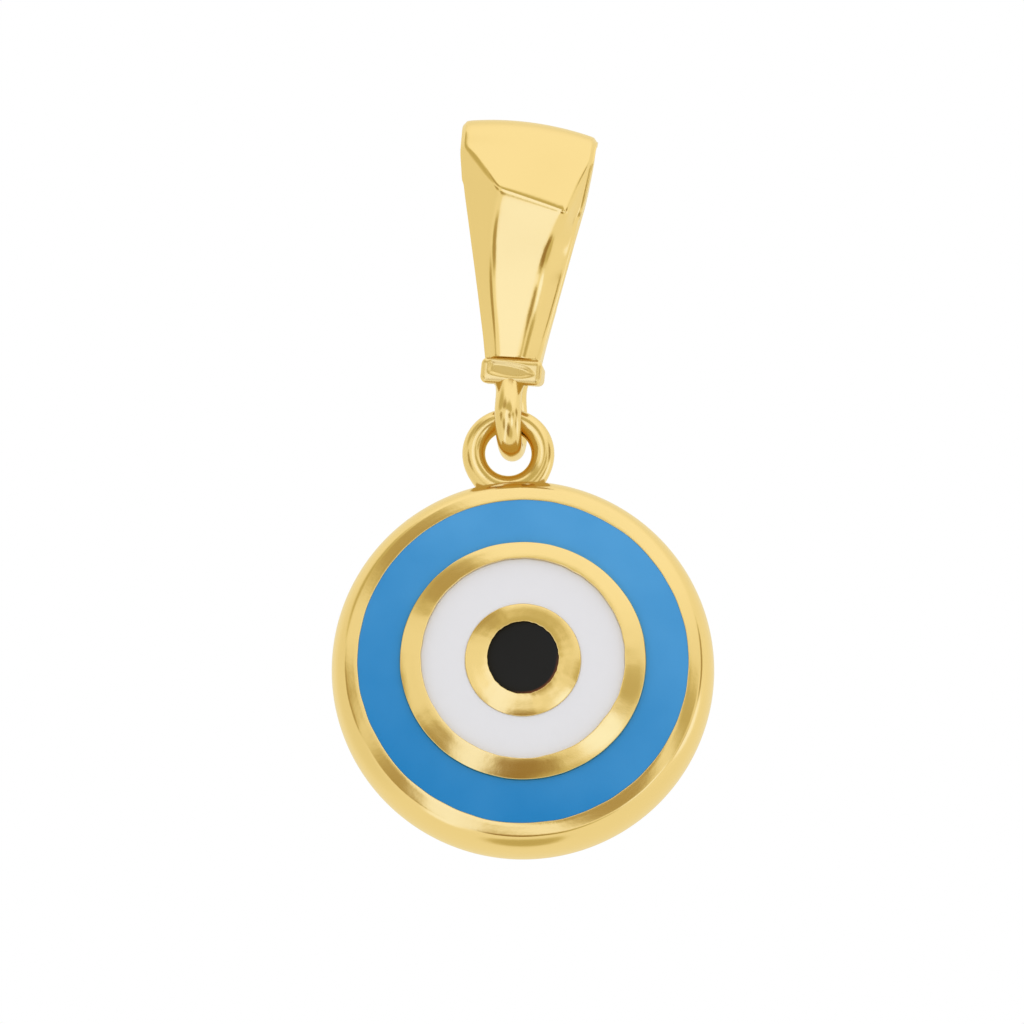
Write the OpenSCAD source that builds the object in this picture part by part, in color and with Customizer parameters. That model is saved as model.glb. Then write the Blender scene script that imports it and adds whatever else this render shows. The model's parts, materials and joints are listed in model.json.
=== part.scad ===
// Evil eye pendant: a faceted gold bail with a hanging loop, and a round gold
// setting with three flush enamel fields that swings from the loop by its eyelet.
// Millimetres, +Z up, -Y is the enamelled front. The origin is the chain seat,
// the top of the passage inside the bail, and the pendant hangs below it.

/* [Bail] */
// Height of the bail from its foot to the top of its fold
bail_h = 6.45; // [5.6:0.05:8]
// Width of the bail across the fold
bail_top_w = 3.6; // [2.8:0.05:5]
// Narrowing of the strap behind the fold, in all
back_narrow = 0.5; // [0:0.05:0.8]
// Width of the bail at its foot
bail_foot_w = 1.44; // [1:0.05:2.2]
// Depth of the bail at its foot, front to back
bail_foot_depth = 0.96; // [0.8:0.05:1.6]
// Outer diameter of the fold that goes over the chain
fold_d = 2.2; // [1.8:0.05:2.8]
// Thickness of the strap in the fold
strap_t = 0.4; // [0.25:0.05:0.55]
// Diameter of the rounded lower end of the chain passage
passage_foot_d = 0.24; // [0.16:0.02:0.4]
// Height of the lower end of the chain passage above the foot
passage_foot_h = 1.5; // [1:0.1:2.4]
// Height of the ridge between the front facet and the cap, above the foot
ridge_h = 4; // [3:0.05:4.6]
// Reach of the ridge in front of the middle of the foot
ridge_out = 1.52; // [1.2:0.02:2]
// Width of the front facet at the ridge
ridge_w = 1.84; // [1.2:0.02:2.4]
// Slope of the ridge, down to the right
ridge_slant = 16.5; // [0:0.5:20]
// Offset of the ridge to the right of the bail's middle
ridge_shift = 0.33; // [0:0.01:0.4]
// Width of the front facet at the foot
facet_foot_w = 0.72; // [0.4:0.02:1]
// Depth of the side bevels at the ridge
bevel_depth = 0.74; // [0.4:0.02:0.9]
// Width of the small chamfer along the strap's outer edges
edge_chamfer = 0.12; // [0.06:0.01:0.16]
// Lean of the cap back from the ridge
cap_lean = 22; // [12:1:34]
// Slope of the fold's top, down to the right
fold_slant = 5; // [0:0.5:8]
// Rise of the fold's middle above its ends
fold_crown = 0.2; // [0.05:0.01:0.3]
// Turn of the bail about the vertical, as it hangs
bail_turn = -6; // [-12:1:12]
// Lean of the bail to the right, as it hangs
bail_lean = 4.9; // [0:0.1:6]

/* [Collar and hanging loop] */
// Width of the collar under the foot
collar_w = 1.6; // [1.4:0.02:2.4]
// Height of the collar
collar_h = 0.48; // [0.44:0.02:0.8]
// Depth of the collar, front to back
collar_depth = 1.05; // [1:0.05:1.8]
// Radius of the collar's rounded ends
collar_round = 0.2; // [0.1:0.01:0.24]
// Height of the soldered neck between foot and collar
neck_h = 0.12; // [0.06:0.01:0.2]
// Depth of the sunk panel in the collar's front
panel_sink = 0.08; // [0.04:0.01:0.14]
// Diameter of the hanging loop's wire
loop_wire = 0.62; // [0.5:0.02:0.7]
// Diameter of the hanging loop, at the middle of its wire
loop_d = 1.76; // [1.6:0.02:2.2]
// Depth to which the hanging loop is let into the collar
loop_sink = 0.3; // [0.26:0.02:0.4]
// Turn of the hanging loop about the vertical
loop_turn = -7; // [-12:1:12]
// Clearance between the two linked wires
hang_gap = 0.08; // [0.04:0.01:0.12]

/* [Setting] */
// Width of the plain rim, outside the blue enamel
rim_w = 0.69; // [0.5:0.01:1]
// Width of the bevel at the front of the rim
rim_bevel_w = 0.44; // [0.3:0.01:0.48]
// Height of the bevel at the front of the rim
rim_bevel_h = 0.18; // [0.1:0.01:0.3]
// Height of the rim's front edge before its widest line
rim_front_h = 1.08; // [0.9:0.02:1.5]
// Depth of the flat back behind the rim's widest line
back_h = 0.8; // [0.7:0.02:1.2]
// Inset of the flat back from the rim's widest line
back_inset = 0.6; // [0.3:0.02:1]
// Width of the gold ring between the blue and the white enamel
ring_w = 0.56; // [0.4:0.01:0.8]
// Height of the gold ring's outer wall above the blue enamel
ring_step = 0.1; // [0.05:0.01:0.2]
// Rise of the gold ring's sloping face to its inner crest
ring_rise = 0.2; // [0.1:0.01:0.3]
// Width of the gold ring round the pupil
iris_w = 0.6; // [0.4:0.01:0.8]
// Height of the pupil ring's outer wall above the white enamel
iris_step = 0.05; // [0.03:0.01:0.12]
// Rise of the pupil ring's sloping face to its inner crest
iris_rise = 0.15; // [0.08:0.01:0.24]
// Diameter of the eyelet's wire
eyelet_wire = 0.6; // [0.5:0.02:0.66]
// Diameter of the eyelet, at the middle of its wire
eyelet_d = 1.8; // [1.76:0.02:2.4]
// Depth to which the eyelet is let into the rim
eyelet_sink = 0.44; // [0.3:0.02:0.56]
// Angle of the eyelet to the left of the setting's top
eyelet_side = 3.8; // [0:0.1:6]
// Place of the eyelet's middle in front of the rim's widest line
eyelet_front = 0.09; // [0:0.01:0.3]
// Angle from the eyelet's top to the point where it hangs
hang_side = 4.8; // [0:0.1:8]

/* [Enamel] */
// Width of the blue enamel field
blue_w = 1.09; // [0.7:0.01:1.6]
// Width of the white enamel field
white_w = 1.12; // [0.7:0.01:1.6]
// Diameter of the dark pupil
pupil_d = 1.88; // [1.2:0.02:2.6]
// Thickness of the enamel in its cells
enamel_t = 0.36; // [0.25:0.01:0.5]
// Depth of the blue enamel below the rim's front edge
blue_sink = 0.03; // [0.01:0.01:0.08]
// Depth of the white enamel below the gold ring's crest
white_sink = 0.15; // [0.08:0.01:0.2]
// Depth of the pupil below its gold ring's crest
pupil_sink = 0.1; // [0.05:0.01:0.15]
// Gap between the enamel and the walls of its cells
cell_gap = 0.02; // [0.01:0.005:0.03]

/* [Hidden] */
gold = "#f0cd7a";

// The setting's rings, from the pupil outwards
pupil_r = pupil_d / 2;
iris_r = pupil_r + iris_w;
white_r = iris_r + white_w;
ring_r = white_r + ring_w;
blue_r = ring_r + blue_w;
disc_r = blue_r + rim_w;

// Heights in front of the rim's widest line
blue_h = rim_front_h - blue_sink;
ring_foot_h = blue_h + ring_step;
ring_crest_h = ring_foot_h + ring_rise;
white_h = ring_crest_h - white_sink;
iris_foot_h = white_h + iris_step;
iris_crest_h = iris_foot_h + iris_rise;
pupil_h = iris_crest_h - pupil_sink;

// The bail's fold: a round bend, tangent to the cap in front and the strap behind
fold_r = fold_d / 2;
passage_r = fold_r - strap_t;
fold_h = bail_h - fold_r;
fold_back = (fold_r + (fold_h - ridge_h) * sin(cap_lean)) / cos(cap_lean) - ridge_out;
foot_back = bail_foot_depth / 2;
strap_run = norm([fold_back - foot_back, fold_h]);
strap_tilt = atan2(fold_back - foot_back, fold_h) + asin(fold_r / strap_run);

// Front strap from foot to ridge, chosen by eye, as shares of the sizes named here:
//   height of ridge_h, reach of the way out to the ridge, facet's growth from foot
//   to ridge width, facet's offset of ridge_shift, bevel of bevel_depth, slope of
//   ridge_slant
HEIGHT = 0;
REACH = 1;
GROWTH = 2;
SHIFT = 3;
BEVEL = 4;
SLOPE = 5;
FRONT = [
    [0.00, 0.00, 0.00, -0.24, 0.28, 0.00],
    [0.13, 0.00, 0.14, -0.24, 0.28, 0.00],
    [0.26, 0.02, 0.28, -0.23, 0.29, 0.00],
    [0.38, 0.07, 0.42, -0.20, 0.31, 0.03],
    [0.48, 0.13, 0.51, -0.17, 0.35, 0.08],
    [0.58, 0.22, 0.61, -0.08, 0.42, 0.15],
    [0.68, 0.34, 0.73, 0.06, 0.51, 0.25],
    [0.78, 0.50, 0.86, 0.28, 0.64, 0.42],
    [0.88, 0.70, 0.95, 0.58, 0.79, 0.66],
    [1.00, 1.00, 1.00, 1.00, 1.00, 1.00]
];
// Places along the cap, as shares of its length, and where its facet meets the edges
CAP = [0.25, 0.5, 0.8];
cap_full = 0.8;
// Half width of the bail over its height, as shares of bail_h and of its widening
OUTLINE = [[0.00, 0.00], [0.66, 0.81], [0.84, 0.97], [1.00, 1.00]];
fold_steps = 10;
back_steps = 4;
side_bevel = 0.04;
side_steps = 6;
turned_fn = 128;
wire_fn = 48;

function mix(a, b, t) = a + (b - a) * t;
function half_width(h) =
    mix(bail_foot_w, bail_top_w, lookup(min(max(h / bail_h, 0), 1), OUTLINE)) / 2;

// A station round the bail's side view: [depth, height, inward depth, inward height,
// facet middle, facet half width, bevel, slope, crown, narrowing]
function front_station(row) = [
    -mix(foot_back, ridge_out, row[REACH]),
    row[HEIGHT] * ridge_h,
    1,
    0,
    row[SHIFT] * ridge_shift,
    mix(facet_foot_w, ridge_w, row[GROWTH]) / 2,
    row[BEVEL] * bevel_depth,
    row[SLOPE] * tan(ridge_slant),
    0,
    0
];
function cap_place(t) = let (
    top = [fold_back - fold_r * cos(cap_lean), fold_h + fold_r * sin(cap_lean)]
) [mix(-ridge_out, top[0], t), mix(ridge_h, top[1], t)];
function cap_station(t) = let (
    p = cap_place(t),
    grown = min(t / cap_full, 1)
) [
    p[0],
    p[1],
    cos(cap_lean),
    -sin(cap_lean),
    mix(ridge_shift, 0, grown),
    mix(ridge_w / 2, half_width(p[1]) - edge_chamfer - side_bevel, grown),
    mix(bevel_depth, side_bevel, grown),
    mix(tan(ridge_slant), tan(fold_slant), grown),
    fold_crown * grown,
    0
];
function plain_station(p, inward, crown, slope, narrowing) = [
    p[0],
    p[1],
    inward[0],
    inward[1],
    0,
    half_width(p[1]) - narrowing - edge_chamfer - side_bevel,
    side_bevel,
    slope,
    crown,
    narrowing
];
function fold_station(angle) = plain_station(
    [fold_back + fold_r * sin(angle), fold_h + fold_r * cos(angle)],
    [-sin(angle), -cos(angle)],
    fold_crown,
    tan(fold_slant),
    back_narrow / 2 * pow(max(sin(angle), 0), 2)
);
function back_station(t) = plain_station(
    [
        mix(fold_back + fold_r * cos(strap_tilt), foot_back, t),
        mix(fold_h - fold_r * sin(strap_tilt), 0, t)
    ],
    t < 1 ? [-cos(strap_tilt), sin(strap_tilt)] : [-1, 0],
    fold_crown * (1 - t),
    tan(fold_slant) * (1 - t),
    back_narrow / 2 * (1 - t)
);
fold_start = cap_lean - 90;
fold_end = 90 + strap_tilt;
STATIONS = [
    for (row = FRONT) front_station(row),
    for (t = CAP) cap_station(t),
    for (i = [0 : fold_steps]) fold_station(mix(fold_start, fold_end, i / fold_steps)),
    for (i = [1 : back_steps]) back_station(i / back_steps)
];

// Points across a station, from its left edge to its right edge
function edge_at(s, side) = side * (half_width(s[1] - side * s[7] * half_width(s[1])) - s[9]);
function across(s) = let (left = edge_at(s, -1), right = edge_at(s, 1)) [
    [left, s[6] + edge_chamfer],
    [left + edge_chamfer, s[6]],
    [s[4] - s[5], 0],
    [s[4] - s[5] / 2, 0],
    [s[4], 0],
    [s[4] + s[5] / 2, 0],
    [s[4] + s[5], 0],
    [right - edge_chamfer, s[6]],
    [right, s[6] + edge_chamfer]
];
function ring_points(s) = [
    for (c = across(s))
        let (inset = c[1] + s[8] * pow(c[0] / half_width(s[1]), 2))
        [c[0], s[0] + s[2] * inset, s[1] + s[3] * inset - s[7] * c[0]]
];
// Solid with a closed loop of stations, each a row of points, and a hub in each side
module lofted(rows, hubs) {
    n = len(rows);
    m = len(rows[0]);
    points = [for (row = rows) each row, each hubs];
    faces = [
        for (i = [0 : n - 1], j = [0 : m - 2])
            let (a = i * m + j, b = (i + 1) % n * m + j)
            each j < m / 2 - 1
                ? [[a + 1, a, b], [b + 1, a + 1, b]]
                : [[a + 1, a, b + 1], [a, b, b + 1]],
        for (i = [0 : n - 1]) [n * m, (i + 1) % n * m, i * m],
        for (i = [0 : n - 1]) [n * m + 1, i * m + m - 1, (i + 1) % n * m + m - 1]
    ];
    polyhedron(points, faces);
}

// Teardrop passage for the chain, open at both sides of the bail
module chain_passage() {
    // The flat walls start just inside both rounds, and so cross them
    wall_start = 0.97;
    lower_r = passage_foot_d / 2;
    top = [fold_back, fold_h];
    low = [0, passage_foot_h + lower_r];
    run = norm(top - low);
    tilt = atan2(top[0] - low[0], top[1] - low[1]);
    flare = asin((passage_r - lower_r) / run);
    // The passage slopes with the fold, so that the strap over it is even from side to side
    translate([0, 0, fold_h])
        rotate([0, fold_slant, 0])
            translate([0, 0, -fold_h])
                rotate([90, 0, 90])
                    linear_extrude(2 * bail_top_w, center = true) {
                        translate(top)
                            circle(passage_r, $fn = wire_fn);
                        translate(low)
                            circle(lower_r, $fn = wire_fn);
                        polygon([
                            top + passage_r * wall_start * [cos(tilt - flare), -sin(tilt - flare)],
                            top - passage_r * wall_start * [cos(tilt + flare), -sin(tilt + flare)],
                            low - lower_r * wall_start * [cos(tilt + flare), -sin(tilt + flare)],
                            low + lower_r * wall_start * [cos(tilt - flare), -sin(tilt - flare)]
                        ]);
                    }
}

// Folded strap, each side closed by triangles that meet at a hub within the passage
module bail_strap() {
    hub_h = fold_h * 0.6;
    difference() {
        lofted(
            [for (s = STATIONS) ring_points(s)],
            [[-half_width(hub_h), 0, hub_h], [half_width(hub_h), 0, hub_h]]
        );
        chain_passage();
    }
}

// Flat bar with rounded ends, the rounding no more than its height allows
module rounded_bar(w, h, round) {
    r = min(round, 0.45 * h);
    square([w - 2 * r, h], center = true);
    square([w, h - 2 * r], center = true);
    for (x = [-1, 1], y = [-1, 1])
        translate([x * (w / 2 - r), y * (h / 2 - r)])
            circle(r, $fn = wire_fn);
}

// Corners of the collar's sunk panel, as shares of its width and height
PANEL = [[-0.5, 0.5], [-0.5, -0.5], [0, -0.6], [0.5, -0.45], [0.5, -0.1]];

// Small soldered collar: rounded from the front and from above, with a sunk
// panel in its front that narrows to the right
module collar() {
    panel_w = collar_w * 0.68;
    panel_h = collar_h * 0.46;
    neck_inset = 0.16;
    overlap = 0.1;
    translate([0, 0, -neck_h - collar_h / 2])
        difference() {
            intersection() {
                rotate([90, 0, 0])
                    linear_extrude(collar_depth, center = true)
                        rounded_bar(collar_w, collar_h, collar_round);
                linear_extrude(2 * collar_h, center = true)
                    rounded_bar(collar_w, collar_depth, collar_round);
            }
            translate([0, panel_sink - collar_depth / 2, 0])
                rotate([90, 0, 0])
                    linear_extrude(collar_depth)
                        polygon([for (corner = PANEL) [corner[0] * panel_w, corner[1] * panel_h]]);
        }
    translate([0, 0, -neck_h / 2])
        cube([bail_foot_w - neck_inset, bail_foot_depth - neck_inset, neck_h + overlap], center = true);
}

module wire_ring(ring_d, wire_d) {
    rotate_extrude($fn = turned_fn)
        translate([ring_d / 2, 0])
            circle(wire_d / 2, $fn = wire_fn);
}

// Places in the hanging pendant, worked out from the chain seat downwards
function turned(p, a) = [p[0] * cos(a) - p[1] * sin(a), p[0] * sin(a) + p[1] * cos(a), p[2]];
function leant(p, a) = [p[0] * cos(a) + p[2] * sin(a), p[1], p[2] * cos(a) - p[0] * sin(a)];
seat = [0, fold_back, fold_h + passage_r];
function hung(p) = leant(turned(p - seat, bail_turn), bail_lean);
module as_hung() {
    rotate([0, bail_lean, 0])
        rotate([0, 0, bail_turn])
            translate(-seat)
                children();
}
collar_foot = hung([0, 0, -neck_h - collar_h]);
loop_at = collar_foot + [0, 0, loop_sink - (loop_d + loop_wire) / 2];
// The eyelet's wire lies in the bottom of the loop, and the charm swings about it
hinge_at = loop_at + [0, 0, (loop_wire + eyelet_wire) / 2 + hang_gap - loop_d / 2];
eyelet_at = hinge_at - eyelet_d / 2 * [sin(hang_side), 0, cos(hang_side)];
eyelet_drop = disc_r + (eyelet_d + eyelet_wire) / 2 - eyelet_sink;
disc_at = eyelet_at + [eyelet_drop * sin(eyelet_side), eyelet_front, -eyelet_drop * cos(eyelet_side)];

module bail() {
    fillet_h = 0.26;
    color(gold) {
        as_hung() {
            bail_strap();
            collar();
        }
        translate(loop_at)
            rotate([0, 0, loop_turn])
                rotate([0, 90, 0])
                    wire_ring(loop_d, loop_wire);
        translate(collar_foot - [0, 0, fillet_h])
            cylinder(2 * fillet_h, loop_wire / 2, loop_wire, $fn = wire_fn);
    }
}

// Turns a profile of [radius, height towards the front] about the setting's axis
module turned_piece() {
    translate(disc_at)
        rotate([90, 0, 0])
            rotate_extrude($fn = turned_fn)
                children();
}

module setting() {
    rim_side = rim_w - rim_bevel_w;
    shoulder_h = rim_front_h - rim_bevel_h;
    quarter = [for (i = [0 : side_steps]) 90 * i / side_steps];
    color(gold) {
        turned_piece()
            polygon([
                [0, -back_h],
                for (a = quarter)
                    [disc_r - back_inset * (1 - sin(a)), -back_h * cos(a)],
                for (a = quarter)
                    if (a > 0) [disc_r - rim_side * (1 - cos(a)), shoulder_h * sin(a)],
                [blue_r, rim_front_h],
                [blue_r, blue_h - enamel_t - cell_gap],
                [ring_r, blue_h - enamel_t - cell_gap],
                [ring_r, ring_foot_h],
                [white_r, ring_crest_h],
                [white_r, white_h - enamel_t - cell_gap],
                [iris_r, white_h - enamel_t - cell_gap],
                [iris_r, iris_foot_h],
                [pupil_r, iris_crest_h],
                [pupil_r, pupil_h - enamel_t - cell_gap],
                [0, pupil_h - enamel_t - cell_gap]
            ]);
        translate(eyelet_at)
            rotate([90, 0, 0])
                wire_ring(eyelet_d, eyelet_wire);
    }
}

// Flush field of enamel between two radii, clear of its cell by the gap
module enamel_field(inner_r, outer_r, top_h) {
    inner = inner_r > 0 ? inner_r + cell_gap : 0;
    turned_piece()
        translate([inner, top_h - enamel_t])
            square([outer_r - cell_gap - inner, enamel_t]);
}

module blue_enamel() {
    color("#4b98d2")
        enamel_field(ring_r, blue_r, blue_h);
}

module white_enamel() {
    color("#e2e2e6")
        enamel_field(iris_r, white_r, white_h);
}

module pupil_enamel() {
    color("#252328")
        enamel_field(0, pupil_r, pupil_h);
}

bail();
setting();
blue_enamel();
white_enamel();
pupil_enamel();
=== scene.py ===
import json
import math

import bmesh
import bpy
import numpy as np
from mathutils import Matrix, Vector


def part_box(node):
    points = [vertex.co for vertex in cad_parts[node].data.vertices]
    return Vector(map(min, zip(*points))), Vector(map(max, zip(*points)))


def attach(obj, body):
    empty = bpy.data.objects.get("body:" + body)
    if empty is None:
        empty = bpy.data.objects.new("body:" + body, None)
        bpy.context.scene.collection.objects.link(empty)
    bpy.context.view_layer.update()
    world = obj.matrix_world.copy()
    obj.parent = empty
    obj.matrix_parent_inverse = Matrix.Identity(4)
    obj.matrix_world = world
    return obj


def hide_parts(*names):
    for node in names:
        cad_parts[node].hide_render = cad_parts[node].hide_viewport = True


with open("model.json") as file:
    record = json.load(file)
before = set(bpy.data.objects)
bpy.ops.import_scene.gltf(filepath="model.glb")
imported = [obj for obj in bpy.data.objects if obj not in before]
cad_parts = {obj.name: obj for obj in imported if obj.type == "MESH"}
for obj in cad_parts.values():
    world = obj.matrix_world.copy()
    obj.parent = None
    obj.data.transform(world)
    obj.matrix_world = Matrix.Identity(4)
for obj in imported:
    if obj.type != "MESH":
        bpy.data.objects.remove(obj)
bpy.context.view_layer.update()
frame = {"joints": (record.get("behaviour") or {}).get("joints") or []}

# Camera: a long lens, far off and a little below the pendant, that looks up at its front.
# Lengths in this file are in metres, and the small ones are millimetres times mm.
mm = 0.001
look_up = math.radians(13.3)
camera_far = 300 * mm
seen_width = 26.67 * mm
film_width = 36
near_clip = 10 * mm
far_clip = 10
aim = Vector((-0.57, 0, -10.08)) * mm

camera = bpy.data.objects.new("camera", bpy.data.cameras.new("camera"))
bpy.context.scene.collection.objects.link(camera)
camera.location = aim - camera_far * Vector((0, math.cos(look_up), math.sin(look_up)))
camera.rotation_euler = (math.pi / 2 + look_up, 0, 0)
camera.data.sensor_width = film_width
camera.data.lens = film_width * camera_far / seen_width
camera.data.clip_start = near_clip
camera.data.clip_end = far_clip
bpy.context.scene.camera = camera

# Bail strap: a band of cast gold folded over the chain and soldered shut at its foot. It has
# a flat facet in front between two side bevels, a cap above the ridge, a round fold and a
# plain strap behind. It is filed and polished by hand, so every crease is softly rounded.
bail_h = 6.442 * mm
bail_top_w = 3.6 * mm
back_narrow = 0.5 * mm
bail_foot_w = 1.44 * mm
bail_foot_depth = 0.96 * mm
fold_r = 1.092 * mm
passage_r = 0.7 * mm
passage_foot_r = 0.12 * mm
passage_foot_h = 1.62 * mm
ridge_h = 4 * mm
ridge_out = 1.52 * mm
ridge_w = 1.84 * mm
ridge_shift = 0.33 * mm
ridge_slope = math.tan(math.radians(16.5))
facet_foot_w = 0.72 * mm
bevel_depth = 0.74 * mm
side_bevel = 0.04 * mm
edge_chamfer = 0.08 * mm
cap_lean = math.radians(22)
cap_full = 0.8
cap_turned = 0.25
cap_spread_power = 0.8
fold_slope = math.tan(math.radians(5))
fold_crown = 0.2 * mm
fold_askew = 0.08 * mm
bail_turn = math.radians(-6)
bail_lean = math.radians(4.9)
crease_round = 0.17 * mm
edge_round = 0.03 * mm
most_rounded = 0.45
crisp_foot_h = 0.5 * mm
foot_drop = 0.08 * mm
polish_passes = 20
least_polish = 0.05
station_gap = 0.03 * mm
arc_steps = 5
foot_steps = 16
too_short = 1e-9
weld_gap = 1e-8

# Points from each corner of the strap's section to the next, all the way round
side_steps = [1, 8, 16, 8, 1, 8, 6, 8]

# Front of the strap from foot to ridge: height, reach, growth of the facet, its shift,
# bevel and slope, each as a share of its size at the ridge
front_shares = np.array([
    [0.00, 0.00, 0.00, -0.24, 0.38, 0.00],
    [0.13, 0.00, 0.14, -0.24, 0.38, 0.00],
    [0.26, 0.02, 0.28, -0.23, 0.38, 0.00],
    [0.38, 0.07, 0.42, -0.20, 0.39, 0.03],
    [0.48, 0.13, 0.51, -0.17, 0.41, 0.08],
    [0.58, 0.22, 0.61, -0.08, 0.46, 0.15],
    [0.68, 0.34, 0.73, 0.06, 0.51, 0.25],
    [0.78, 0.50, 0.86, 0.28, 0.64, 0.42],
    [0.88, 0.70, 0.95, 0.58, 0.79, 0.66],
    [1.00, 1.00, 1.00, 1.00, 1.00, 1.00],
])
# Outline of the strap in front view: how far up, and how much of the widening is reached
outline_heights = [0.00, 0.66, 0.84, 1.00]
outline_widening = [0.00, 0.81, 0.97, 1.00]

fold_h = bail_h - fold_r
fold_back = (fold_r + (fold_h - ridge_h) * math.sin(cap_lean)) / math.cos(cap_lean) - ridge_out
foot_back = bail_foot_depth / 2
back_reach = fold_back - foot_back
strap_tilt = math.atan2(back_reach, fold_h) + math.asin(fold_r / math.hypot(back_reach, fold_h))
cap_foot = np.array([-ridge_out, ridge_h])
cap_top = np.array([
    fold_back - fold_r * math.cos(cap_lean),
    fold_h + fold_r * math.sin(cap_lean),
])


def mix(a, b, share):
    return a + (b - a) * share


def half_width(height):
    widening = np.interp(height / bail_h, outline_heights, outline_widening)
    return mix(bail_foot_w, bail_top_w, widening) / 2


def flowing(shares, table):
    """Rows of a table at the given shares of its first column, on one smooth curve."""
    keys = table[:, 0]
    slopes = np.gradient(table, keys, axis=0)
    i = np.clip(np.searchsorted(keys, shares) - 1, 0, len(keys) - 2)
    run = (keys[i + 1] - keys[i])[:, None]
    t = (shares - keys[i])[:, None] / run
    start = (1 + 2 * t) * (1 - t) ** 2 * table[i] + t * (1 - t) ** 2 * run * slopes[i]
    end = t * t * (3 - 2 * t) * table[i + 1] + t * t * (t - 1) * run * slopes[i + 1]
    return start + end


def steps_over(length):
    return max(int(round(length / station_gap)), 2)


def stations(depth, height, inward, middle, half, bevel, slope, crown, narrow):
    """One row for each place round the strap's side view, with the same fields in each."""
    fields = [depth, height, inward[0], inward[1], middle, half, bevel, slope, crown, narrow]
    return np.stack(np.broadcast_arrays(*fields), axis=1)


def front_stations():
    share = np.linspace(0, 1, steps_over(ridge_h + ridge_out / 2), endpoint=False)
    height, reach, growth, shift, bevel, slope = flowing(share, front_shares).T
    return stations(
        -mix(foot_back, ridge_out, reach), height * ridge_h, (1.0, 0.0),
        shift * ridge_shift, mix(facet_foot_w, ridge_w, growth) / 2,
        bevel * bevel_depth, slope * ridge_slope, 0.0, 0.0,
    )


def cap_stations():
    run = np.linalg.norm(cap_top - cap_foot)
    share = np.linspace(0, 1, steps_over(run), endpoint=False)
    depth, height = mix(cap_foot[:, None], cap_top[:, None], share)
    grown = np.minimum(share / cap_full, 1)
    spread = grown ** cap_spread_power
    full = half_width(height) - edge_chamfer - side_bevel
    turned = np.minimum(share / cap_turned, 1)
    inward = (mix(1, math.cos(cap_lean), turned), mix(0, -math.sin(cap_lean), turned))
    return stations(
        depth, height, inward, mix(ridge_shift, 0, spread), mix(ridge_w / 2, full, spread),
        mix(bevel_depth, side_bevel, grown), mix(ridge_slope, fold_slope, grown),
        fold_crown * grown, 0.0,
    )


def fold_stations():
    start = cap_lean - math.pi / 2
    end = math.pi / 2 + strap_tilt
    angle = np.linspace(start, end, steps_over(fold_r * (end - start)), endpoint=False)
    height = fold_h + fold_r * np.cos(angle)
    narrow = back_narrow / 2 * np.maximum(np.sin(angle), 0)
    half = half_width(height) - narrow - edge_chamfer - side_bevel
    return stations(
        fold_back + fold_r * np.sin(angle), height, (-np.sin(angle), -np.cos(angle)),
        0.0, half, side_bevel, fold_slope, fold_crown, narrow,
    )


def back_stations():
    share = np.linspace(0, 1, steps_over(fold_h) // 2)
    depth = mix(fold_back + fold_r * math.cos(strap_tilt), foot_back, share)
    height = mix(fold_h - fold_r * math.sin(strap_tilt), 0, share)
    narrow = back_narrow / 2 * (1 - share)
    half = half_width(height) - narrow - edge_chamfer - side_bevel
    return stations(
        depth, height, (-math.cos(strap_tilt), math.sin(strap_tilt)),
        0.0, half, side_bevel, fold_slope * (1 - share), fold_crown * (1 - share), narrow,
    )


def passage_mouth(depth, height):
    """Nearest point of the teardrop passage, seen from the side, to each station."""
    low = np.array([0.0, passage_foot_h])
    axis = np.array([fold_back, fold_h]) - low
    run = np.linalg.norm(axis)
    axis = axis / run
    point = np.stack([depth, height], axis=1) - low
    along = point @ axis
    beside = np.abs(point @ np.array([axis[1], -axis[0]]))
    flare = math.asin((passage_r - passage_foot_r) / run)
    along = np.clip(along + beside * math.tan(flare), 0, run)
    centre = along[:, None] * axis
    outward = point - centre
    outward = outward / np.linalg.norm(outward, axis=1)[:, None]
    radius = mix(passage_foot_r, passage_r, along / run)
    return (low + centre + radius[:, None] * outward).T


def rounded(corners, rounds, between):
    """Points along closed chains of corners, with each corner rounded off."""
    count = len(corners)
    starts, ends = [], []
    for k, corner in enumerate(corners):
        for side, found in ((corners[k - 1], starts), (corners[(k + 1) % count], ends)):
            reach = np.linalg.norm(side - corner, axis=-1, keepdims=True)
            share = np.minimum(rounds[k] / np.maximum(reach, too_short), most_rounded)
            found.append(mix(corner, side, share))
    points = []
    for k, corner in enumerate(corners):
        for t in np.linspace(0, 1, arc_steps):
            bent = mix(mix(starts[k], corner, t), mix(corner, ends[k], t), t)
            points.append(bent)
        for t in np.linspace(0, 1, between[k] + 2)[1:-1]:
            points.append(mix(ends[k], starts[(k + 1) % count], t))
    return np.stack(points, axis=-2)


def strap_corners(fields):
    """The eight corners of the strap's section at every station."""
    depth, height, in_depth, in_height, middle, half, bevel, slope, crown, narrow = fields
    mouth_depth, mouth_height = passage_mouth(depth, height)

    def on_skin(across, inset):
        return np.stack([
            across,
            depth + in_depth * inset,
            height + in_height * inset - slope * across,
        ], axis=1)

    def edge(side):
        return side * (half_width(height - side * slope * half_width(height)) - narrow)

    def mouth(side):
        across = side * (half_width(mouth_height) - narrow)
        return np.stack([across, mouth_depth, mouth_height - fold_slope * across], axis=1)

    return [
        on_skin(edge(-1), bevel + edge_chamfer),
        on_skin(edge(-1) + edge_chamfer, bevel),
        on_skin(middle - half, 0 * bevel),
        on_skin(middle + half, 0 * bevel),
        on_skin(edge(1) - edge_chamfer, bevel),
        on_skin(edge(1), bevel + edge_chamfer),
        mouth(1),
        mouth(-1),
    ]


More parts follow.
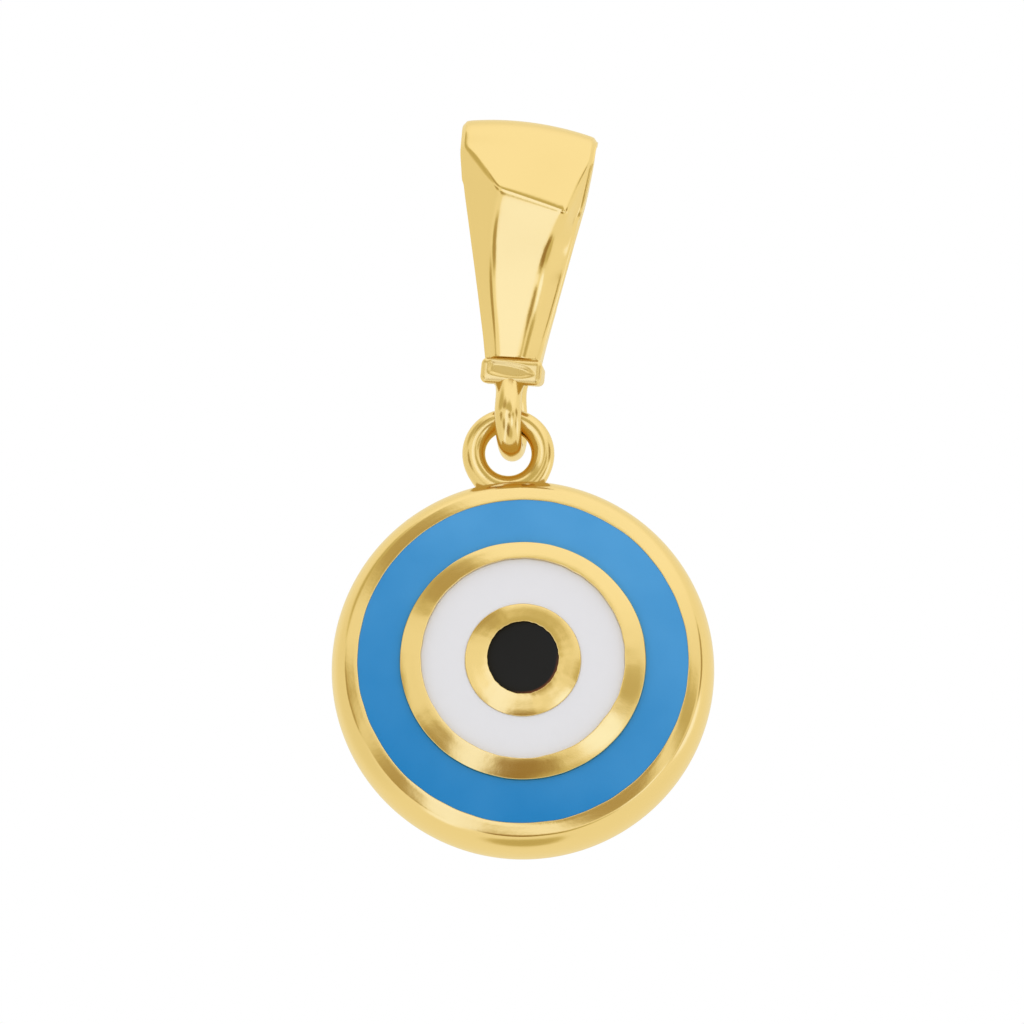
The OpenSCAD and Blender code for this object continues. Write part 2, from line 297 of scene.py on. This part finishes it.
def polished(grid):
    """Softens the ridge and the folds along the strap, and leaves its foot crisp."""
    soft = np.clip(grid[..., 2:] / crisp_foot_h, least_polish, 1)
    for _ in range(polish_passes):
        grid = grid + soft * (np.roll(grid, 1, axis=0) - 2 * grid + np.roll(grid, -1, axis=0)) / 4
    return grid


def strap_rows():
    rows = np.concatenate([front_stations(), cap_stations(), fold_stations(), back_stations()])
    depth, height, in_depth, in_height, crown = rows[:, [0, 1, 2, 3, 8]].T
    rounds = 2 * [edge_round] + 2 * [crease_round] + 4 * [edge_round]
    grid = rounded(strap_corners(rows.T), rounds, side_steps)
    # The strap was folded a little askew, so its top lies to the left of the cap
    risen = np.clip((height - ridge_h) / (fold_h - ridge_h), 0, 1)
    gone_back = np.clip((depth + ridge_out) / (fold_back + ridge_out), 0, 1)
    grid[..., 0] -= (fold_askew * risen * gone_back)[:, None]
    # The crown bends the whole skin down to its edges, and fades along the side walls
    starts = np.concatenate([[0], np.cumsum(np.array(side_steps) + arc_steps)])
    bent = np.interp(np.arange(grid.shape[1]), starts[[5, 6, 7, 8]], [1, 0, 0, 1])
    drop = crown[:, None] * (grid[..., 0] / half_width(height)[:, None]) ** 2 * bent
    grid[..., 1] += in_depth[:, None] * drop
    grid[..., 2] += in_height[:, None] * drop
    foot = mix(grid[-1][None], grid[0][None], np.linspace(0, 1, foot_steps)[1:-1, None, None])
    grid = np.concatenate([grid, foot])
    grid[..., 2] -= foot_drop * np.clip(1 - grid[..., 2] / crisp_foot_h, 0, 1)
    return polished(grid)


def shell(name, grid, place=Matrix.Identity(4)):
    """Smooth mesh over a grid of points, closed round each row and from last row to first."""
    rows, across = grid.shape[:2]
    i, j = np.meshgrid(np.arange(rows), np.arange(across), indexing="ij")
    after, beside = (i + 1) % rows, (j + 1) % across
    corners = [i * across + j, i * across + beside, after * across + beside, after * across + j]
    faces = np.stack(corners, axis=-1)
    mesh = bpy.data.meshes.new(name)
    mesh.from_pydata(grid.reshape(-1, 3).tolist(), [], faces.reshape(-1, 4).tolist())
    mesh.transform(place)
    work = bmesh.new()
    work.from_mesh(mesh)
    bmesh.ops.remove_doubles(work, verts=work.verts, dist=weld_gap)
    bmesh.ops.recalc_face_normals(work, faces=work.faces)
    for face in work.faces:
        face.smooth = True
    work.to_mesh(mesh)
    work.free()
    piece = bpy.data.objects.new(name, mesh)
    bpy.context.scene.collection.objects.link(piece)
    return piece


gold_tone = (1.0, 0.80, 0.40, 1)
gloss_cloud = 900
gloss_cloud_detail = 3
gloss_spread = 0.2
rub_fineness = 9000
rub_detail = 4
rub_depth = 0.01 * mm


def gold(name, roughness, grain):
    """Polished yellow gold: a little uneven in gloss, with a fine grain left by polishing."""
    material = bpy.data.materials.new(name)
    material.use_nodes = True
    nodes, links = material.node_tree.nodes, material.node_tree.links
    shader = nodes["Principled BSDF"]
    shader.inputs["Base Color"].default_value = gold_tone
    shader.inputs["Metallic"].default_value = 1
    place = nodes.new("ShaderNodeTexCoord")
    cloud = nodes.new("ShaderNodeTexNoise")
    cloud.inputs["Scale"].default_value = gloss_cloud
    cloud.inputs["Detail"].default_value = gloss_cloud_detail
    gloss = nodes.new("ShaderNodeMapRange")
    gloss.inputs["To Min"].default_value = roughness * (1 - gloss_spread)
    gloss.inputs["To Max"].default_value = roughness * (1 + gloss_spread)
    links.new(place.outputs["Object"], cloud.inputs["Vector"])
    links.new(cloud.outputs["Fac"], gloss.inputs["Value"])
    links.new(gloss.outputs["Result"], shader.inputs["Roughness"])
    rub = nodes.new("ShaderNodeTexNoise")
    rub.inputs["Scale"].default_value = rub_fineness
    rub.inputs["Detail"].default_value = rub_detail
    bump = nodes.new("ShaderNodeBump")
    bump.inputs["Strength"].default_value = grain
    bump.inputs["Distance"].default_value = rub_depth
    links.new(place.outputs["Object"], rub.inputs["Vector"])
    links.new(rub.outputs["Fac"], bump.inputs["Height"])
    links.new(bump.outputs["Normal"], shader.inputs["Normal"])
    return material


as_hung = (
    Matrix.Rotation(bail_lean, 4, "Y")
    @ Matrix.Rotation(bail_turn, 4, "Z")
    @ Matrix.Translation((0, -fold_back, -fold_h - passage_r))
)
bail_gold = gold("bail_gold", roughness=0.14, grain=0.1)
bail_strap = shell("bail_strap", strap_rows(), as_hung)
bail_strap.data.materials.append(bail_gold)
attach(bail_strap, "bail")
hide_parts("bail")

# Collar: a small cast bar of gold soldered under the foot of the bail on a short neck. It
# has rounded ends, an underside that reaches lower in front, and a sunk panel that narrows
# to the right. It is left duller than the strap, and carries the hanging loop.
neck_h = 0.12 * mm
neck_inset = 0.2 * mm
neck_round = 0.04 * mm
neck_cuts = 12
collar_w = 1.6 * mm
collar_h = 0.48 * mm
collar_depth = 1.05 * mm
collar_lip = 0.05 * mm
collar_back_in = 0.18 * mm
collar_out = 0.1 * mm
collar_aside = 0.04 * mm
collar_drop = 0.18 * mm
collar_heel = 0.03 * mm
collar_round = 0.15 * mm
collar_cuts = 60
panel_sink = 0.06 * mm
panel_tilt = 0.13
panel_wall = 0.14 * mm
panel_soft = 0.035 * mm
panel_grown = 0.02 * mm
panel_corners = mm * np.array([
    [-0.54, 0.12], [-0.56, -0.13], [-0.15, -0.25], [0.28, -0.26],
    [0.56, -0.14], [0.45, -0.02], [0.0, 0.10],
])

collar_tall = collar_h + collar_lip
collar_deep = collar_depth - collar_back_in + collar_out
collar_at = Vector((collar_aside, -(collar_back_in + collar_out) / 2, -neck_h - collar_tall / 2))


def soft_bar(name, size, centre, rounding, cuts):
    """Bar with all its edges and corners rounded, made of an even net of small faces."""
    work = bmesh.new()
    bmesh.ops.create_cube(work, size=2)
    bmesh.ops.subdivide_edges(work, edges=work.edges, cuts=cuts, use_grid_fill=True)
    half = Vector(size) / 2
    for vert in work.verts:
        spot = Vector(c * h for c, h in zip(vert.co, half))
        core = Vector(max(-h + rounding, min(h - rounding, c)) for c, h in zip(spot, half))
        out = spot - core
        vert.co = core + out.normalized() * rounding + centre
    for face in work.faces:
        face.smooth = True
    mesh = bpy.data.meshes.new(name)
    work.to_mesh(mesh)
    work.free()
    piece = bpy.data.objects.new(name, mesh)
    bpy.context.scene.collection.objects.link(piece)
    return piece


def slope_underside(piece):
    """Draws the collar's underside down in front and a little less behind."""
    for vert in piece.data.vertices:
        low = (collar_at.z + collar_tall / 2 - vert.co.z) / collar_tall
        forward = (collar_at.y + collar_deep / 2 - vert.co.y) / collar_deep
        vert.co.z -= low * mix(-collar_heel, collar_drop, forward)


def sink_panel(piece):
    """Presses the panel into the front of the collar, with soft walls."""
    for vert in piece.data.vertices:
        spot = vert.co - collar_at
        if spot.y > 0:
            continue
        past_sides = 0
        for a, b in zip(panel_corners, np.roll(panel_corners, -1, axis=0)):
            run = b - a
            inward = np.array([-run[1], run[0]]) / np.linalg.norm(run)
            past_sides += math.exp(-float(inward @ (np.array([spot.x, spot.z]) - a)) / panel_soft)
        inside = panel_grown + panel_wall / 2 - panel_soft * math.log(past_sides)
        share = min(max(inside / panel_wall, 0), 1)
        vert.co.y += (panel_sink + panel_tilt * spot.z) * share * share * (3 - 2 * share)


collar_size = (collar_w, collar_deep, collar_tall)
collar = soft_bar("collar", collar_size, collar_at, collar_round, collar_cuts)
slope_underside(collar)
sink_panel(collar)
collar.data.transform(as_hung)
collar.data.materials.append(gold("collar_gold", roughness=0.27, grain=0.12))
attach(collar, "bail")
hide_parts("bail")

neck_w = bail_foot_w - neck_inset
neck_depth = bail_foot_depth - 2 * neck_inset
neck_size = (neck_w, neck_depth, neck_h + 2 * neck_round)
neck = soft_bar("neck", neck_size, Vector((0, 0, -neck_h / 2)), neck_round, neck_cuts)
neck.data.transform(as_hung)
neck.data.materials.append(bail_gold)
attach(neck, "bail")
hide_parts("bail")

# Hanging loop: a ring of drawn gold wire soldered under the collar, seen almost edge on.
# It is widest where the eyelet hangs and is drawn in from there up to the collar, where
# the solder thickens it.
loop_wire_r = 0.31 * mm
loop_half_h = 1.0 * mm
loop_half_depth = 0.74 * mm
loop_straight = 0.85
loop_drawn_in = 0.8
loop_drawn_power = 1.3
loop_turn = math.radians(-7)
loop_swell = 0.16 * mm
loop_solder_h = 0.2 * mm
loop_flattened = 0.04 * mm
eyelet_wire_r = 0.3 * mm
hang_gap = 0.12 * mm
wire_sides = 40
wire_steps = 160

hinge = Vector(frame["joints"][0]["pos_m"])
loop_at = hinge + Vector((0, 0, loop_half_h - loop_wire_r - eyelet_wire_r - hang_gap))
collar_foot = as_hung @ Vector((0, 0, -neck_h - collar_h))


def wire_ring(path, wire_r, swelling):
    """Points of a closed wire along a path of [across, up], with the solder's swelling over it."""
    run = np.roll(path, -1, axis=0) - np.roll(path, 1, axis=0)
    run = run / np.linalg.norm(run, axis=1)[:, None]
    outward = np.stack([-run[:, 1], run[:, 0]], axis=1)[:, None]
    about = np.linspace(0, 2 * math.pi, wire_sides, endpoint=False)
    centre = np.broadcast_to(path[:, None], (len(path), wire_sides, 2))
    thick = wire_r + swelling(centre, about)
    spots = centre + outward * (thick * np.cos(about))[..., None]
    return np.stack([spots[..., 0], thick * np.sin(about), spots[..., 1]], axis=-1)


def round_path(radius):
    turn = np.linspace(0, 2 * math.pi, wire_steps, endpoint=False)
    return radius * np.stack([np.sin(turn), np.cos(turn)], axis=1)


def drawn_in_path():
    path = round_path(1)
    path = np.sign(path) * np.abs(path) ** loop_straight * np.array([loop_half_depth, loop_half_h])
    widest = hinge.z - loop_at.z
    rise = np.clip((path[:, 1] - widest) / (loop_half_h - widest), 0, 1)
    path[:, 0] *= 1 - loop_drawn_in * rise ** loop_drawn_power
    return path


def loop_swelling(centre, about):
    below = collar_foot.z - loop_at.z - centre[..., 1]
    solder = loop_swell * np.exp(-np.maximum(below, 0) / loop_solder_h)
    return (solder + loop_flattened * (centre[..., 0] / loop_half_depth) ** 2) * np.sin(about) ** 2


loop_rows = wire_ring(drawn_in_path(), loop_wire_r, loop_swelling)
facing = Matrix.Rotation(loop_turn + math.pi / 2, 4, "Z")
hanging_loop = shell("hanging_loop", loop_rows, Matrix.Translation(loop_at) @ facing)
hanging_loop.data.materials.append(gold("loop_gold", roughness=0.16, grain=0.08))
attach(hanging_loop, "bail")
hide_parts("bail")

# Setting: a thick cast disc of gold with three sunk cells, turned on a lathe and cleaned and
# polished by hand, with a plain back. It has a bevelled rim, a sloping ring between the
# blue and the white, and a narrower one at the pupil.
rim_w = 0.70 * mm
rim_bevel_w = 0.34 * mm
rim_bevel_h = 0.14 * mm
rim_front_h = 1.08 * mm
back_h = 0.8 * mm
back_inset = 0.6 * mm
ring_w = 0.523 * mm
blue_w = 1.114 * mm
white_w = 1.148 * mm
iris_w = 0.555 * mm
pupil_r = 0.94 * mm
blue_h = 1.05 * mm
ring_foot_h = 1.15 * mm
ring_crest_h = 1.35 * mm
white_h = 1.20 * mm
iris_foot_h = 1.25 * mm
iris_crest_h = 1.40 * mm
pupil_h = 1.30 * mm
cell_depth = 0.3 * mm
side_round = 0.04 * mm
shoulder_round = 0.05 * mm
ring_round = 0.025 * mm
iris_round = 0.02 * mm
cell_round = 0.01 * mm
shoulder_turn = 65
quarter_points = 10
profile_steps = 2
disc_steps = 360
disc_lift = 0.04 * mm

iris_r = pupil_r + iris_w
white_r = iris_r + white_w
ring_r = white_r + ring_w
blue_r = ring_r + blue_w
disc_r = blue_r + rim_w

low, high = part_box("setting")
disc_at = Vector(((low.x + high.x) / 2, high.y - back_h, low.z + disc_r + disc_lift))

# At each radius: how much taller than wide the circle is, as a share, how far above the
# middle it lies, and how much its edge wavers from the handwork
ring_keys = [0, pupil_r, iris_r, white_r, ring_r, blue_r, disc_r]
ring_taller = [0.019, 0.019, -0.004, 0.002, -0.006, 0, 0.003]
ring_above = mm * np.array([0.03, 0.03, 0.0, 0.035, 0.01, 0.01, 0])
ring_waver = mm * np.array([0, 0.0035, 0.001, 0.005, 0.002, 0.004, 0])
waver_seed = 11
waver_orders = np.arange(7, 40)[:, None]
waver_fall = -0.5
# The rim's bevel is polished flatter at the bottom and the lower right of the disc: where,
# clockwise from the top, by how much, and how narrow the place is
rim_flatter = [
    (math.radians(180), 0.045 * mm, 6),
    (math.radians(140), 0.075 * mm, 8),
]

disc_around = np.linspace(0, 2 * math.pi, disc_steps, endpoint=False)
chance = np.random.default_rng(waver_seed)


def wavering():
    """A seeded waver round the circle, about 1 in size, made of waves of many lengths."""
    count = len(waver_orders)
    sizes = chance.normal(size=(count, 1)) * waver_orders ** waver_fall
    waves = sizes * np.sin(waver_orders * disc_around + chance.uniform(0, 2 * math.pi, (count, 1)))
    waver = waves.sum(axis=0)
    return waver / waver.std()


ring_wavers = np.stack([size * wavering() for size in ring_waver], axis=1)


def turned_rows(profile):
    """Turns a closed profile of [radius, height to the front] into rows of points."""
    around = disc_around[:, None]
    taller = np.interp(profile[:, 0], ring_keys, ring_taller)
    above = np.interp(profile[:, 0], ring_keys, ring_above)
    waver = np.stack([np.interp(profile[:, 0], ring_keys, row) for row in ring_wavers])
    radius = profile[None, :, 0] * (1 + taller * np.cos(2 * around)) + waver
    at_shoulder = np.interp(profile[:, 0], [blue_r, blue_r + rim_bevel_w, disc_r], [0, 1, 0])
    flatter = sum(
        raised * np.maximum(np.cos(around - place), 0) ** power
        for place, raised, power in rim_flatter
    )
    in_front = profile[:, 1] > 0
    height = profile[None, :, 1] + flatter * at_shoulder * in_front
    return np.stack([
        radius * np.sin(around),
        -height,
        radius * np.cos(around) + above,
    ], axis=-1)


def disc_profile():
    """Corners of the disc from the middle of its back to the middle of the pupil's cell."""
    quarter = np.radians(np.linspace(0, 90, quarter_points))
    rim_side = rim_w - rim_bevel_w
    shoulder_h = rim_front_h - rim_bevel_h
    shoulder = math.radians(shoulder_turn)
    corners = [(0, -back_h, 0)]
    for a in quarter:
        corners.append((disc_r - back_inset * (1 - math.sin(a)), -back_h * math.cos(a), side_round))
    for a in quarter[1:] * shoulder_turn / 90:
        radius = disc_r - rim_side * (1 - math.cos(a)) / (1 - math.cos(shoulder))
        height = shoulder_h * math.sin(a) / math.sin(shoulder)
        corners.append((radius, height, side_round))
    corners[-1] = (*corners[-1][:2], shoulder_round)
    corners += [
        (blue_r, rim_front_h, ring_round),
        (blue_r, blue_h - cell_depth, cell_round),
        (ring_r, blue_h - cell_depth, cell_round),
        (ring_r, ring_foot_h, ring_round),
        (white_r, ring_crest_h, ring_round),
        (white_r, white_h - cell_depth, cell_round),
        (iris_r, white_h - cell_depth, cell_round),
        (iris_r, iris_foot_h, iris_round),
        (pupil_r, iris_crest_h, iris_round),
        (pupil_r, pupil_h - cell_depth, cell_round),
        (0, pupil_h - cell_depth, 0),
    ]
    points = [np.array([[radius, height]], float) for radius, height, _ in corners]
    rounds = [rounding for _, _, rounding in corners]
    return rounded(points, rounds, [profile_steps] * len(corners))[0]


setting_gold = gold("setting_gold", roughness=0.16, grain=0.12)
setting_disc = shell("setting_disc", turned_rows(disc_profile()), Matrix.Translation(disc_at))
setting_disc.data.materials.append(setting_gold)
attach(setting_disc, "charm")
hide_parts("setting")

# Eyelet: a ring of drawn gold wire, closed through the hanging loop. Its foot is let into
# the top of the rim and soldered there, and the solder thickens it.
eyelet_r = 0.9 * mm
eyelet_swell = 0.26 * mm
eyelet_solder_w = 0.13 * mm
hang_side = math.radians(4.8)
charm_lift = 0.03 * mm
eyelet_at = hinge - eyelet_r * Vector((math.sin(hang_side), 0, math.cos(hang_side)))
eyelet_at.z += charm_lift


def eyelet_swelling(centre, about):
    across = eyelet_at.x + centre[..., 0] - disc_at.x
    up = eyelet_at.z + centre[..., 1] - disc_at.z
    solder = eyelet_swell / (1 + np.exp((np.hypot(across, up) - disc_r) / eyelet_solder_w))
    return solder * (1 + np.cos(about)) / 2


eyelet_rows = wire_ring(round_path(eyelet_r), eyelet_wire_r, eyelet_swelling)
eyelet = shell("eyelet", eyelet_rows, Matrix.Translation(eyelet_at))
eyelet.data.materials.append(setting_gold)
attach(eyelet, "charm")
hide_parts("setting")

# Enamel: opaque vitreous enamel fired into the three cells, blue, white and nearly black.
# It is faintly clouded, drawn up a little at the walls, and painted lighter towards the upper right
# and deeper below: painted light and shade, not the enamel's own colour. The dark field has a
# reddish stain along the lower right of its edge.
enamel_thick = 0.25 * mm
enamel_drawn_up = 0.012 * mm
enamel_draw_w = 0.1 * mm
enamel_steps = 60
enamel_shine = 0.2
cloud_scale = 500
cloud_detail = 2
cloud_depth = 0.35
# Direction across the disc in which the painted light grades each field from its deeper to its
# lighter tone
painted_light_side = (0.45, 0, 0.89)
stained_side = (0.64, 0, -0.77)
stain_starts = 0.88 * pupil_r
stain_side_starts = 0.4 * pupil_r
# Lighter and deeper tone of each field: the ends of the painted light and shade, with the random
# cloud between them
blue_light, blue_deep = (0.081, 0.37, 0.75), (0.012, 0.235, 0.58)
white_light, white_deep = (0.85, 0.845, 0.88), (0.835, 0.835, 0.865)
dark_light, dark_deep = (0.003, 0.003, 0.003), (0.014, 0.0135, 0.014)
dark_stain = (0.30, 0.09, 0.02)


def enamel_tone(nodes, links, light, deep):
    """The colour of a field, with painted light that grades it across the disc and a random cloud,
    and each spot's place from the middle of the disc.
    """
    place = nodes.new("ShaderNodeTexCoord")
    cloud = nodes.new("ShaderNodeTexNoise")
    cloud.inputs["Scale"].default_value = cloud_scale
    cloud.inputs["Detail"].default_value = cloud_detail
    from_middle = nodes.new("ShaderNodeVectorMath")
    from_middle.operation = "SUBTRACT"
    from_middle.inputs[1].default_value = disc_at
    across = nodes.new("ShaderNodeVectorMath")
    across.operation = "DOT_PRODUCT"
    across.inputs[1].default_value = painted_light_side
    # Painted light: the tone climbs from deep to light across the disc, towards the upper right
    painted_light_climb = nodes.new("ShaderNodeMapRange")
    painted_light_climb.inputs["From Min"].default_value = -blue_r
    painted_light_climb.inputs["From Max"].default_value = blue_r
    drift = nodes.new("ShaderNodeMapRange")
    drift.inputs["To Min"].default_value = -cloud_depth
    drift.inputs["To Max"].default_value = cloud_depth
    both = nodes.new("ShaderNodeMath")
    both.use_clamp = True
    tone = nodes.new("ShaderNodeMix")
    tone.data_type = "RGBA"
    tone.inputs["A"].default_value = (*deep, 1)
    tone.inputs["B"].default_value = (*light, 1)
    links.new(place.outputs["Object"], cloud.inputs["Vector"])
    links.new(place.outputs["Object"], from_middle.inputs[0])
    links.new(from_middle.outputs["Vector"], across.inputs[0])
    links.new(across.outputs["Value"], painted_light_climb.inputs["Value"])
    links.new(cloud.outputs["Fac"], drift.inputs["Value"])
    links.new(painted_light_climb.outputs["Result"], both.inputs[0])
    links.new(drift.outputs["Result"], both.inputs[1])
    links.new(both.outputs["Value"], tone.inputs["Factor"])
    return tone.outputs["Result"], from_middle.outputs["Vector"]


def fading_in(nodes, links, measure, starts):
    """Rises softly from 0 to 1 between a start and the pupil's edge."""
    fade = nodes.new("ShaderNodeMapRange")
    fade.interpolation_type = "SMOOTHSTEP"
    fade.inputs["From Min"].default_value = starts
    fade.inputs["From Max"].default_value = pupil_r
    links.new(measure, fade.inputs["Value"])
    return fade.outputs["Result"]


def stained(nodes, links, tone, from_middle, stain):
    """The same colour with a stain along one side of the pupil's edge."""
    flat = nodes.new("ShaderNodeVectorMath")
    flat.operation = "MULTIPLY"
    flat.inputs[1].default_value = (1, 0, 1)
    far = nodes.new("ShaderNodeVectorMath")
    far.operation = "LENGTH"
    side = nodes.new("ShaderNodeVectorMath")
    side.operation = "DOT_PRODUCT"
    side.inputs[1].default_value = stained_side
    amount = nodes.new("ShaderNodeMath")
    amount.operation = "MULTIPLY"
    blend = nodes.new("ShaderNodeMix")
    blend.data_type = "RGBA"
    blend.inputs["B"].default_value = (*stain, 1)
    links.new(from_middle, flat.inputs[0])
    links.new(flat.outputs["Vector"], far.inputs[0])
    links.new(flat.outputs["Vector"], side.inputs[0])
    links.new(fading_in(nodes, links, far.outputs["Value"], stain_starts), amount.inputs[0])
    links.new(fading_in(nodes, links, side.outputs["Value"], stain_side_starts), amount.inputs[1])
    links.new(amount.outputs["Value"], blend.inputs["Factor"])
    links.new(tone, blend.inputs["A"])
    return blend.outputs["Result"]


def enamel(name, light, deep, roughness, stain=None):
    """Opaque glossy enamel, between a lighter and a deeper tone, set by painted light across the
    disc and a random cloud.
    """
    material = bpy.data.materials.new(name)
    material.use_nodes = True
    nodes, links = material.node_tree.nodes, material.node_tree.links
    shader = nodes["Principled BSDF"]
    shader.inputs["Roughness"].default_value = roughness
    shader.inputs["Specular IOR Level"].default_value = enamel_shine
    tone, from_middle = enamel_tone(nodes, links, light, deep)
    if stain is not None:
        tone = stained(nodes, links, tone, from_middle, stain)
    links.new(tone, shader.inputs["Base Color"])
    return material


def enamel_field(name, inner_r, outer_r, top_h):
    """Washer of enamel between two radii, its top drawn up at the walls."""
    radius = np.linspace(inner_r, outer_r, enamel_steps)
    edge = outer_r - radius
    if inner_r > 0:
        edge = np.minimum(edge, radius - inner_r)
    height = top_h + enamel_drawn_up * np.exp(-edge / enamel_draw_w)
    top = np.stack([radius, height], axis=1)[::-1]
    under = np.array([[inner_r, top_h - enamel_thick], [outer_r, top_h - enamel_thick]])
    profile = np.concatenate([under, top])
    return shell(name, turned_rows(profile), Matrix.Translation(disc_at))


blue_field = enamel_field("blue_field", ring_r, blue_r, blue_h)
blue_field.data.materials.append(enamel("blue_glass", blue_light, blue_deep, roughness=0.25))
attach(blue_field, "charm")
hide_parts("blue_enamel")

white_field = enamel_field("white_field", iris_r, white_r, white_h)
white_field.data.materials.append(enamel("white_glass", white_light, white_deep, roughness=0.25))
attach(white_field, "charm")
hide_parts("white_enamel")

dark_glass = enamel("dark_glass", dark_light, dark_deep, roughness=0.2, stain=dark_stain)
pupil_field = enamel_field("pupil_field", 0, pupil_r, pupil_h)
pupil_field.data.materials.append(dark_glass)
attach(pupil_field, "charm")
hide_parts("pupil_enamel")

# Studio: a white cloth tent round the pendant, with dark cards and bright panels hung in
# it that only the gold shows. Each is a soft round field, and a bright strip of them
# crosses the front from top to lower left.
tent_level = 0.80
strip_level = 1.03
strip_reach = 10
strip_core = 5
deep_level = 0.38
past_first_reflection = 1.5

# How far right of and above straight ahead of the pendant the middle of each field lies,
# its reach and its full core, all in degrees, and its level
tent_fields = [
    (25, 65, 55, 25, 0.92),
    (-95, 0, 45, 20, 0.74),
    (75, -10, 40, 20, 0.82),
    (-33, 41, 17, 7, 0.34),
    (-72, 40, 24, 10, 0.45),
    (5, 28, 27, 16, 0.45),
    (-6, -1, 25, 16, 0.98),
    (0, -36, 20, 12, 0.22),
    (-36, -20, 15, 7, 0.32),
    (24, -42, 18, 8, 0.50),
    (29, -14, 12, 5, 1.10),
    (38, 3, 12, 4, 0.42),
    (-56, 3, 15, 7, 0.32),
    (9, -1, 12, 6, 0.30),
    (72, 13, 15, 8, 0.30),
    (180, -82, 18, 10, 0.45),
    (66, -11, 9, 4, 0.35),
    (88, -9, 14, 8, 1.02),
]
strip_places = [
    (-12, 16), (-13, 4), (-15, -8), (-18, -19), (-21, -26),
    (-27, -35), (-37, -43), (-49, -49), (-62, -54),
]
# Cloth and gold warm the light wherever it is dim: level, and the light's colour there
tent_tones = [
    (0.00, (0.100, 0.000, 0.000)),
    (0.08, (0.188, 0.076, 0.008)),
    (0.27, (0.376, 0.265, 0.100)),
    (0.45, (0.533, 0.452, 0.210)),
    (0.57, (0.658, 0.570, 0.305)),
    (0.77, (0.831, 0.770, 0.557)),
    (0.91, (0.965, 0.910, 0.730)),
    (1.04, (1.000, 1.040, 1.140)),
    (1.30, (1.100, 1.300, 1.500)),
]

world = bpy.data.worlds.new("studio")
bpy.context.scene.world = world
world.use_nodes = True
nodes, links = world.node_tree.nodes, world.node_tree.links
sight = nodes.new("ShaderNodeTexCoord")


def soft_field(right, up, reach, core):
    """How much of a soft round field lies in the direction looked in, from 0 to 1."""
    right, up = math.radians(right), math.radians(up)
    towards = nodes.new("ShaderNodeVectorMath")
    towards.operation = "DOT_PRODUCT"
    towards.inputs[1].default_value = (
        math.sin(right) * math.cos(up), -math.cos(right) * math.cos(up), math.sin(up),
    )
    links.new(sight.outputs["Generated"], towards.inputs[0])
    fade = nodes.new("ShaderNodeMapRange")
    fade.interpolation_type = "SMOOTHSTEP"
    fade.inputs["From Min"].default_value = math.cos(math.radians(reach))
    fade.inputs["From Max"].default_value = math.cos(math.radians(core))
    links.new(towards.outputs["Value"], fade.inputs["Value"])
    return fade.outputs["Result"]


def towards_level(so_far, share, level):
    blend = nodes.new("ShaderNodeMix")
    blend.inputs["B"].default_value = level
    links.new(share, blend.inputs["Factor"])
    links.new(so_far, blend.inputs["A"])
    return blend.outputs["Result"]


def bright_strip():
    strip = soft_field(*strip_places[0], strip_reach, strip_core)
    for place in strip_places[1:]:
        either = nodes.new("ShaderNodeMath")
        either.operation = "MAXIMUM"
        links.new(strip, either.inputs[0])
        links.new(soft_field(*place, strip_reach, strip_core), either.inputs[1])
        strip = either.outputs["Value"]
    return strip


tent = nodes.new("ShaderNodeValue")
tent.outputs["Value"].default_value = tent_level
level = tent.outputs["Value"]
for right, up, reach, core, field_level in tent_fields:
    level = towards_level(level, soft_field(right, up, reach, core), field_level)
level = towards_level(level, bright_strip(), strip_level)

# Where gold shows gold, as inside the rings and in the gap at the collar, little light gets in
bounces = nodes.new("ShaderNodeLightPath")
again = nodes.new("ShaderNodeMath")
again.operation = "GREATER_THAN"
again.inputs[1].default_value = past_first_reflection
links.new(bounces.outputs["Glossy Depth"], again.inputs[0])
level = towards_level(level, again.outputs["Value"], deep_level)

# A new ramp has two stops, so the others are added first
brightest = tent_tones[-1][0]
scaled = nodes.new("ShaderNodeMath")
scaled.operation = "DIVIDE"
scaled.inputs[1].default_value = brightest
links.new(level, scaled.inputs[0])
tones = nodes.new("ShaderNodeValToRGB")
links.new(scaled.outputs["Value"], tones.inputs["Fac"])
for _ in tent_tones[2:]:
    tones.color_ramp.elements.new(0.5)
for stop, (at, tone) in zip(tones.color_ramp.elements, tent_tones):
    stop.position = at / brightest
    stop.color = (*tone, 1)
shown = nodes.new("ShaderNodeMix")
shown.data_type = "RGBA"
shown.inputs["A"].default_value = (1, 1, 1, 1)
links.new(bounces.outputs["Is Glossy Ray"], shown.inputs["Factor"])
links.new(tones.outputs["Color"], shown.inputs["B"])
links.new(shown.outputs["Result"], nodes["Background"].inputs["Color"])
bpy.context.scene.view_settings.view_transform = "Standard"

# Floor: a plain pale sheet that lies far below the hanging pendant. The gold doesn't
# mirror it, because the tent is all that the gold shows.
floor_half = 2.0
floor_low = 0.12
floor_tone = (0.85, 0.85, 0.85, 1)

floor_sides = [(-1, -1), (1, -1), (1, 1), (-1, 1)]
floor_corners = [(x * floor_half, y * floor_half, -floor_low) for x, y in floor_sides]
floor_mesh = bpy.data.meshes.new("floor")
floor_mesh.from_pydata(floor_corners, [], [(0, 1, 2, 3)])
floor = bpy.data.objects.new("floor", floor_mesh)
bpy.context.scene.collection.objects.link(floor)
pale = bpy.data.materials.new("pale_floor")
pale.use_nodes = True
pale.node_tree.nodes["Principled BSDF"].inputs["Base Color"].default_value = floor_tone
floor.data.materials.append(pale)
floor.visible_glossy = False
